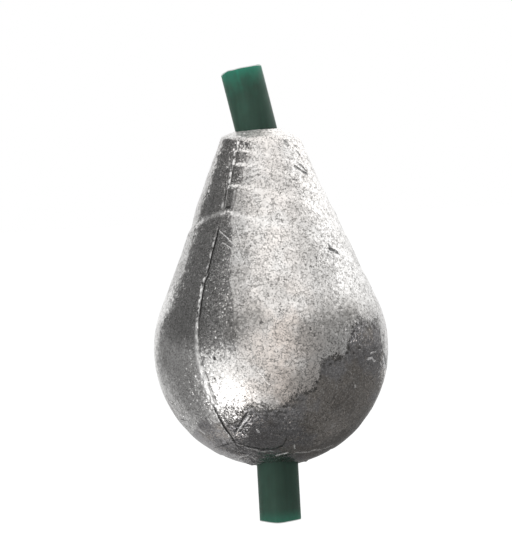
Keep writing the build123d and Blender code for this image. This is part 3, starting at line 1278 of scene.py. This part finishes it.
def skin_tree(material):
    """Node group that works the cast skin into lumps and dimples."""
    tree = bpy.data.node_groups.new("cast_skin", "GeometryNodeTree")
    make = Nodes(tree)
    group_input(tree, "Casting", "NodeSocketGeometry")
    sizes = {}
    for name in ("Lump depth", "Lump size", "Dimple depth", "Dimple size"):
        sizes[name] = group_input(tree, name, "NodeSocketFloat")
    sizes["Seed"] = group_input(tree, "Seed", "NodeSocketInt")
    tree.interface.new_socket(name="Casting", in_out="OUTPUT", socket_type="NodeSocketGeometry")
    source = make.new("NodeGroupInput")
    place = make.new("GeometryNodeInputPosition").outputs[0]
    heights = []
    for index, name in enumerate(("Lump", "Dimple")):
        texture = make.new("ShaderNodeTexNoise", noise_dimensions="4D")
        make.feed(texture.inputs["Vector"], place)
        make.feed(texture.inputs["Scale"], make.math("DIVIDE", 1.0, source.outputs[f"{name} size"]))
        make.feed(texture.inputs["W"], make.plus(source.outputs["Seed"], 3.7 * index))
        texture.inputs["Detail"].default_value = 2.0
        centred = make.minus(texture.outputs[0], 0.5)
        heights.append(make.times(centred, source.outputs[f"{name} depth"]))
    skin = make.new("GeometryNodeInputNamedAttribute")
    skin.inputs["Name"].default_value = "skin"
    worked = make.times(make.plus(*heights), skin.outputs["Attribute"])
    normal = make.new("GeometryNodeInputNormal").outputs[0]
    move = make.new("GeometryNodeSetPosition")
    make.feed(move.inputs["Geometry"], source.outputs["Casting"])
    make.feed(move.inputs["Offset"], make.vector("SCALE", normal, scale=worked))
    finish_tree(make, move.outputs[0], material)
    return tree, sizes


def finish_tree(make, geometry, material):
    """Ends a node group in Realize Instances and Set Material."""
    real = make.new("GeometryNodeRealizeInstances")
    paint = make.new("GeometryNodeSetMaterial")
    paint.inputs["Material"].default_value = material
    make.feed(real.inputs[0], geometry)
    make.feed(paint.inputs["Geometry"], real.outputs[0])
    make.feed(make.new("NodeGroupOutput").inputs[0], paint.outputs[0])


def place_in_scene(name, mesh):
    """Makes an object of a mesh at the origin."""
    piece = bpy.data.objects.new(name, mesh)
    bpy.context.scene.collection.objects.link(piece)
    return piece


def settle_nodes(piece, tree, values):
    """Runs a node group on a piece and keeps the result as its plain mesh."""
    modifier = piece.modifiers.new(tree.name, "NODES")
    modifier.node_group = tree
    for identifier, value in values.items():
        modifier[identifier] = value
    bpy.context.view_layer.update()
    graph = bpy.context.evaluated_depsgraph_get()
    result = bpy.data.meshes.new_from_object(piece.evaluated_get(graph))
    piece.modifiers.clear()
    old = piece.data
    piece.data = result
    result.name = piece.name
    bpy.data.meshes.remove(old)
    result.polygons.foreach_set("use_smooth", [True] * len(result.polygons))
    result.update()


def tube_path(tube, casting):
    """Curve of the tube's centre line, straight through the lead and bent near the top."""
    top_z = belly_height(casting) + casting.crown_height
    lean = tube.lean_angle
    along_lean = Vector((-math.sin(lean), 0.0, math.cos(lean)))
    bend_end = Vector((-tube.bend_radius * (1.0 - math.cos(lean)), 0.0, top_z))
    bend_start = Vector((0.0, 0.0, top_z - tube.bend_radius * math.sin(lean)))
    reach = 4.0 / 3.0 * math.tan(lean / 4.0) * tube.bend_radius
    lower_end = Vector((0.0, 0.0, -tube.lower_projection))
    upper_end = bend_end + along_lean * tube.upper_projection
    up = Vector((0.0, 0.0, 1.0))
    stops = (
        (lower_end, lower_end - up * reach, lower_end + up * reach),
        (bend_start, bend_start - up * reach, bend_start + up * reach),
        (bend_end, bend_end - along_lean * reach, bend_end + along_lean * reach),
        (upper_end, upper_end - along_lean * reach, upper_end + along_lean * reach),
    )
    curve = bpy.data.curves.new("tube_path", "CURVE")
    curve.dimensions = "3D"
    curve.resolution_u = 32
    spline = curve.splines.new("BEZIER")
    spline.bezier_points.add(len(stops) - 1)
    for point, (place, before, after) in zip(spline.bezier_points, stops):
        point.handle_left_type = point.handle_right_type = "FREE"
        point.co, point.handle_left, point.handle_right = place, before, after
    length = tube.lower_projection + bend_start.z + tube.bend_radius * lean + tube.upper_projection
    return curve, length, upper_end, along_lean


def tube_tree(material):
    """Node group that runs the tube's two walls along its path."""
    tree = bpy.data.node_groups.new("tube_walls", "GeometryNodeTree")
    make = Nodes(tree)
    sizes = {"Path": group_input(tree, "Path", "NodeSocketObject")}
    for name in ("Outer radius", "Inner radius", "Pitch"):
        sizes[name] = group_input(tree, name, "NodeSocketFloat")
    sizes["Sides"] = group_input(tree, "Sides", "NodeSocketInt")
    tree.interface.new_socket(name="Tube", in_out="OUTPUT", socket_type="NodeSocketGeometry")
    source = make.new("NodeGroupInput")
    path = make.new("GeometryNodeObjectInfo")
    make.feed(path.inputs["Object"], source.outputs["Path"])
    spaced = make.new("GeometryNodeResampleCurve", mode="LENGTH")
    make.feed(spaced.inputs["Curve"], path.outputs["Geometry"])
    make.feed(spaced.inputs["Length"], source.outputs["Pitch"])
    along = make.new("GeometryNodeStoreNamedAttribute", data_type="FLOAT", domain="POINT")
    along.inputs["Name"].default_value = "along"
    make.feed(along.inputs["Geometry"], spaced.outputs[0])
    make.feed(along.inputs["Value"], make.new("GeometryNodeSplineParameter").outputs["Length"])
    join = make.new("GeometryNodeJoinGeometry")
    for name in ("Inner radius", "Outer radius"):
        ring = make.new("GeometryNodeCurvePrimitiveCircle")
        make.feed(ring.inputs["Resolution"], source.outputs["Sides"])
        make.feed(ring.inputs["Radius"], source.outputs[name])
        wall = make.new("GeometryNodeCurveToMesh")
        make.feed(wall.inputs["Curve"], along.outputs[0])
        make.feed(wall.inputs["Profile Curve"], ring.outputs[0])
        make.feed(join.inputs[0], wall.outputs[0])
    finish_tree(make, join.outputs[0], material)
    return tree, sizes


def close_tube(mesh, upper_end, lean):
    """Trims both ends to uneven knife cuts, joins the walls there and notes the side of each point."""
    work = bmesh.new()
    work.from_mesh(mesh)
    across = work.verts.layers.float.new("across")
    along = work.verts.layers.float["along"]
    side = Vector((-lean.z, 0.0, lean.x))
    for vert in work.verts:
        gap = vert.co - upper_end
        leaning = vert.co.z > 0.5 * upper_end.z
        place = (gap.dot(side) if leaning else -vert.co.x) / (2.0 * MM)
        vert[across] = place
        waver = 0.03 * MM * math.sin(5.0 * place + 1.0) + 0.03 * MM * math.sin(2.0 * vert.co.y / MM)
        top = 0.19 * MM * (1.0 - abs(place) ** 6) + 0.11 * MM * math.exp(-((place - 0.65) / 0.2) ** 2)
        near_end = max(0.0, 1.0 + gap.dot(lean) / (1.4 * MM))
        vert.co += lean * (top + waver) * near_end**2
        low_end = max(0.0, 1.0 - vert[along] / (1.0 * MM))
        vert.co.z -= low_end**2 * (0.09 * MM * (1.0 - place**2) + waver)
    rims = [edge for edge in work.edges if edge.is_boundary]
    lower = [edge for edge in rims if edge.verts[0].co.z < 0.0]
    upper = [edge for edge in rims if edge.verts[0].co.z > 0.0]
    for loop in (lower, upper):
        bmesh.ops.bridge_loops(work, edges=loop)
    bmesh.ops.recalc_face_normals(work, faces=work.faces)
    ends = [edge for edge in work.edges if edge.is_manifold and edge.calc_face_angle() > math.radians(50.0)]
    bmesh.ops.bevel(work, geom=ends, offset=0.09 * MM, segments=3, affect="EDGES", profile=0.5)
    work.to_mesh(mesh)
    work.free()
    mesh.polygons.foreach_set("use_smooth", [True] * len(mesh.polygons))
    mesh.update()


TUBE_PITCH = 0.3 * MM
TUBE_SIDES = 96


class SINKER_OT_cast_lead(bpy.types.Operator):
    """Build the cast lead body"""

    bl_idname = "sinker.cast_lead"
    bl_label = "Cast Lead Body"

    def execute(self, context):
        settings = context.scene.sinker_casting
        piece = place_in_scene("lead_casting", casting_mesh(settings, context.scene.sinker_tube))
        tree, sizes = skin_tree(lead_material(settings))
        settle_nodes(piece, tree, {
            sizes["Lump depth"]: settings.lump_depth,
            sizes["Lump size"]: settings.lump_size,
            sizes["Dimple depth"]: settings.dimple_depth,
            sizes["Dimple size"]: settings.dimple_size,
            sizes["Seed"]: settings.seed,
        })
        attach(piece, "sinker")
        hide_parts("lead_body")
        return {"FINISHED"}


class SINKER_OT_line_tube(bpy.types.Operator):
    """Build the soft tube that lines the bore"""

    bl_idname = "sinker.line_tube"
    bl_label = "Line Tube"

    def execute(self, context):
        settings = context.scene.sinker_tube
        curve, length, upper_end, lean = tube_path(settings, context.scene.sinker_casting)
        path = place_in_scene("tube_path", curve)
        piece = place_in_scene("soft_line_tube", bpy.data.meshes.new("soft_line_tube"))
        tree, sizes = tube_tree(tube_material(settings, length))
        settle_nodes(piece, tree, {
            sizes["Path"]: path,
            sizes["Outer radius"]: settings.outer_radius,
            sizes["Inner radius"]: settings.inner_radius,
            sizes["Pitch"]: TUBE_PITCH,
            sizes["Sides"]: TUBE_SIDES,
        })
        bpy.data.objects.remove(path)
        bpy.data.curves.remove(curve)
        close_tube(piece.data, upper_end, lean)
        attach(piece, "tube")
        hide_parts("line_tube")
        return {"FINISHED"}


def towards(azimuth, elevation):
    """Unit vector from the belly towards a studio direction, azimuth 0 at the camera and positive right."""
    turn, lift = math.radians(azimuth), math.radians(elevation)
    return Vector((math.sin(turn) * math.cos(lift), -math.cos(turn) * math.cos(lift), math.sin(lift)))


TENT_PANELS = (
    # name, middle azimuth, half width, lowest and highest elevation, softness sideways and upward, level
    ("top", 0.0, 200.0, 64.0, 100.0, 14.0, 14.0, 1.3),
    ("front_high", 0.0, 42.0, 32.0, 64.0, 20.0, 14.0, 1.3),
    ("right_bright", 138.0, 50.0, 17.0, 66.0, 24.0, 20.0, 1.6),
    ("front", 8.0, 60.0, -60.0, 34.0, 20.0, 20.0, 0.95),
    ("front_low", 22.0, 40.0, -62.0, -24.0, 24.0, 24.0, 0.36),
    ("right", 95.0, 46.0, -60.0, 9.0, 6.0, 30.0, 0.16),
    ("right_mid", 88.0, 12.0, 8.0, 20.0, 12.0, 12.0, 0.35),
    ("right_rim", 140.0, 40.0, -60.0, -10.0, 10.0, 6.0, 0.21),
    ("right_front", 54.0, 36.0, -60.0, 28.0, 26.0, 26.0, 0.22),
    ("right_low", 97.0, 22.0, -52.0, -35.0, 20.0, 14.0, 0.13),
    ("right_foot", 128.0, 28.0, -66.0, -43.0, 20.0, 14.0, 0.25),
    ("key_halo", -39.0, 24.0, -47.0, -20.0, 34.0, 26.0, 1.15),
    ("left_low", -110.0, 38.0, -52.0, 6.0, 18.0, 18.0, 0.21),
    ("left_front", -46.0, 25.0, 1.0, 56.0, 8.0, 8.0, 0.23),
    ("left", -94.5, 42.5, 3.0, 56.0, 8.0, 8.0, 0.115),
    ("back_low", 180.0, 40.0, -100.0, -24.0, 14.0, 14.0, 0.12),
    ("left_foot", -150.0, 26.0, -42.0, -10.0, 14.0, 12.0, 0.5),
    ("foot", 0.0, 200.0, -100.0, -58.0, 14.0, 14.0, 0.135),
    ("foot_left", -30.0, 16.0, -75.0, -50.0, 12.0, 8.0, 0.14),
)
# Middle azimuth and elevation, reach, softness and level of the bright round panel
KEY_PANEL = (-54.5, -40.5, 16.0, 11.0, 2.3)


def tent_level(azimuth, elevation):
    """Brightness of the tent in a direction: white, with brighter and darker panels and a round one."""
    level = np.ones(azimuth.shape)
    for _, middle, half, low, high, side_soft, rise_soft, panel in TENT_PANELS:
        gap = np.abs((azimuth - middle + 180.0) % 360.0 - 180.0)
        cover = smooth_rise(half - gap, -side_soft / 2, side_soft / 2)
        cover = cover * smooth_rise(elevation - low, -rise_soft / 2, rise_soft / 2)
        cover = cover * smooth_rise(high - elevation, -rise_soft / 2, rise_soft / 2)
        level = level + (panel - level) * cover
    middle, height, reach, soft, panel = KEY_PANEL
    lift, key_lift = np.radians(elevation), math.radians(height)
    turn = np.radians(azimuth - middle)
    nearness = np.sin(lift) * math.sin(key_lift) + np.cos(lift) * math.cos(key_lift) * np.cos(turn)
    gap = np.degrees(np.arccos(np.clip(nearness, -1.0, 1.0)))
    return level + (panel - level) * smooth_rise(reach - gap, -soft / 2, soft / 2)


def light_tent(distance, centre):
    """Round tent of white cloth with its panels, which only reflections show."""
    azimuth, elevation = np.meshgrid(np.linspace(-180.0, 180.0, 145)[:-1], np.linspace(-89.9, 89.9, 73))
    turn, lift = np.radians(azimuth), np.radians(elevation)
    points = np.stack((np.sin(turn) * np.cos(lift), -np.cos(turn) * np.cos(lift), np.sin(lift)), axis=-1)
    points = np.array(centre) + distance * points
    index = np.arange(azimuth.size).reshape(azimuth.shape)
    right = np.roll(index, -1, axis=1)
    faces = np.stack((index[:-1], right[:-1], right[1:], index[1:]), axis=-1).reshape(-1, 4)
    mesh = bpy.data.meshes.new("light_tent")
    mesh.from_pydata(points.reshape(-1, 3).tolist(), [], faces.tolist())
    layer = mesh.attributes.new("level", "FLOAT", "POINT")
    layer.data.foreach_set("value", tent_level(azimuth, elevation).astype(np.float32).ravel())
    material, make, surface = new_material("tent_cloth")
    material.cycles.emission_sampling = "NONE"
    glow = make.new("ShaderNodeEmission")
    make.feed(glow.inputs["Strength"], make.attribute("level"))
    glow.inputs["Color"].default_value = WHITE
    make.feed(surface, glow.outputs[0])
    mesh.materials.append(material)
    tent = place_in_scene("light_tent", mesh)
    tent.visible_camera = tent.visible_diffuse = tent.visible_shadow = False
    tent.visible_transmission = tent.visible_volume_scatter = False


def studio_lamp(name, azimuth, elevation, distance, size, radiance, centre):
    """Round lamp that faces the object."""
    lamp = bpy.data.lights.new(name, "AREA")
    lamp.shape = "DISK"
    lamp.size = size
    lamp.energy = radiance * math.pi * math.pi * size**2 / 4
    holder = bpy.data.objects.new(name, lamp)
    bpy.context.scene.collection.objects.link(holder)
    away = towards(azimuth, elevation)
    holder.location = centre + away * distance
    holder.rotation_euler = away.to_track_quat("Z", "Y").to_euler()
    holder.visible_camera = holder.visible_glossy = False


def seen_directly(make):
    """1 for rays from the camera, mirrored rays and rays through a body, else 0."""
    ray = make.new("ShaderNodeLightPath")
    shown = make.larger(ray.outputs["Is Camera Ray"], ray.outputs["Is Glossy Ray"])
    return make.larger(shown, ray.outputs["Is Transmission Ray"])


def studio_world(strength):
    """Even studio light with a white background that the lead and tube mirror too."""
    world = bpy.data.worlds.new("studio")
    bpy.context.scene.world = world
    world.use_nodes = True
    world.node_tree.nodes.clear()
    make = Nodes(world.node_tree)
    sky = make.new("ShaderNodeBackground")
    sky.inputs["Color"].default_value = WHITE
    level = make.plus(make.times(seen_directly(make), 1.0 - strength), strength)
    make.feed(sky.inputs["Strength"], level)
    make.feed(make.new("ShaderNodeOutputWorld").inputs["Surface"], sky.outputs[0])


FLOOR_REACH = 3.0
PAPER_COLOUR = (0.86, 0.86, 0.86, 1.0)
PAPER_LIFT = 0.40


def studio_floor(drop):
    """Wide pale floor that keeps the shadow and reads as white paper."""
    mesh = bpy.data.meshes.new("floor")
    half = FLOOR_REACH
    corners = [(-half, -half, -drop), (half, -half, -drop), (half, half, -drop), (-half, half, -drop)]
    mesh.from_pydata(corners, [], [(0, 1, 2, 3)])
    material, make, surface = new_material("white_paper")
    paper = make.new("ShaderNodeBsdfDiffuse")
    paper.inputs["Color"].default_value = PAPER_COLOUR
    lift = make.new("ShaderNodeEmission")
    make.feed(lift.inputs["Strength"], make.times(seen_directly(make), PAPER_LIFT))
    both = make.new("ShaderNodeAddShader")
    make.feed(both.inputs[0], paper.outputs[0])
    make.feed(both.inputs[1], lift.outputs[0])
    make.feed(surface, both.outputs[0])
    mesh.materials.append(material)
    floor = place_in_scene("floor", mesh)
    floor.visible_glossy = False


def studio_camera(settings):
    """Long-lens camera at the photograph's angle."""
    camera = bpy.data.cameras.new("camera")
    camera.lens = settings.camera_lens
    camera.sensor_width = 36.0
    camera.clip_start = 0.01
    camera.clip_end = 20.0
    holder = bpy.data.objects.new("camera", camera)
    bpy.context.scene.collection.objects.link(holder)
    back = towards(0.0, math.degrees(settings.camera_elevation))
    look = (-back).to_track_quat("-Z", "Y").to_matrix().to_4x4()
    roll = Matrix.Rotation(-settings.camera_roll, 4, "Z")
    place = Matrix.Translation(Vector(settings.aim) + back * settings.camera_distance)
    holder.matrix_world = place @ look @ roll
    bpy.context.scene.camera = holder


TENT_CENTRE = Vector((0.0, 0.0, 11.1 * MM))
# Azimuth, elevation, distance and diameter of the soft lamp
TOP_LAMP = (40.0, 62.0, 0.45, 0.30)


class SINKER_OT_stage(bpy.types.Operator):
    """Set the camera, floor, light tent and lamp"""

    bl_idname = "sinker.stage"
    bl_label = "Studio"

    def execute(self, context):
        settings = context.scene.sinker_stage
        context.scene.view_settings.view_transform = "Standard"
        studio_camera(settings)
        studio_world(settings.world_strength)
        studio_floor(settings.floor_drop)
        light_tent(settings.tent_radius, TENT_CENTRE)
        studio_lamp("top_lamp", *TOP_LAMP, settings.lamp_radiance, TENT_CENTRE)
        return {"FINISHED"}


class SINKER_PT_panel(bpy.types.Panel):
    """Sinker pieces and studio"""

    bl_idname = "SINKER_PT_panel"
    bl_label = "Fishing Sinker"
    bl_space_type = "VIEW_3D"
    bl_region_type = "UI"
    bl_category = "Sinker"

    def draw(self, context):
        scene = context.scene
        groups = (
            (SINKER_OT_cast_lead.bl_idname, scene.sinker_casting),
            (SINKER_OT_line_tube.bl_idname, scene.sinker_tube),
            (SINKER_OT_stage.bl_idname, scene.sinker_stage),
        )
        for operator, settings in groups:
            box = self.layout.box()
            box.operator(operator)
            for name in settings.__annotations__:
                box.prop(settings, name)


CLASSES = (
    CastingSettings,
    TubeSettings,
    StageSettings,
    SINKER_OT_cast_lead,
    SINKER_OT_line_tube,
    SINKER_OT_stage,
    SINKER_PT_panel,
)


def register():
    for item in CLASSES:
        bpy.utils.register_class(item)
    bpy.types.Scene.sinker_casting = PointerProperty(type=CastingSettings)
    bpy.types.Scene.sinker_tube = PointerProperty(type=TubeSettings)
    bpy.types.Scene.sinker_stage = PointerProperty(type=StageSettings)


def unregister():
    del bpy.types.Scene.sinker_stage
    del bpy.types.Scene.sinker_tube
    del bpy.types.Scene.sinker_casting
    for item in reversed(CLASSES):
        bpy.utils.unregister_class(item)


def main():
    register()
    bpy.ops.sinker.cast_lead()
    bpy.ops.sinker.line_tube()
    bpy.ops.sinker.stage()


if __name__ == "__main__":
    main()
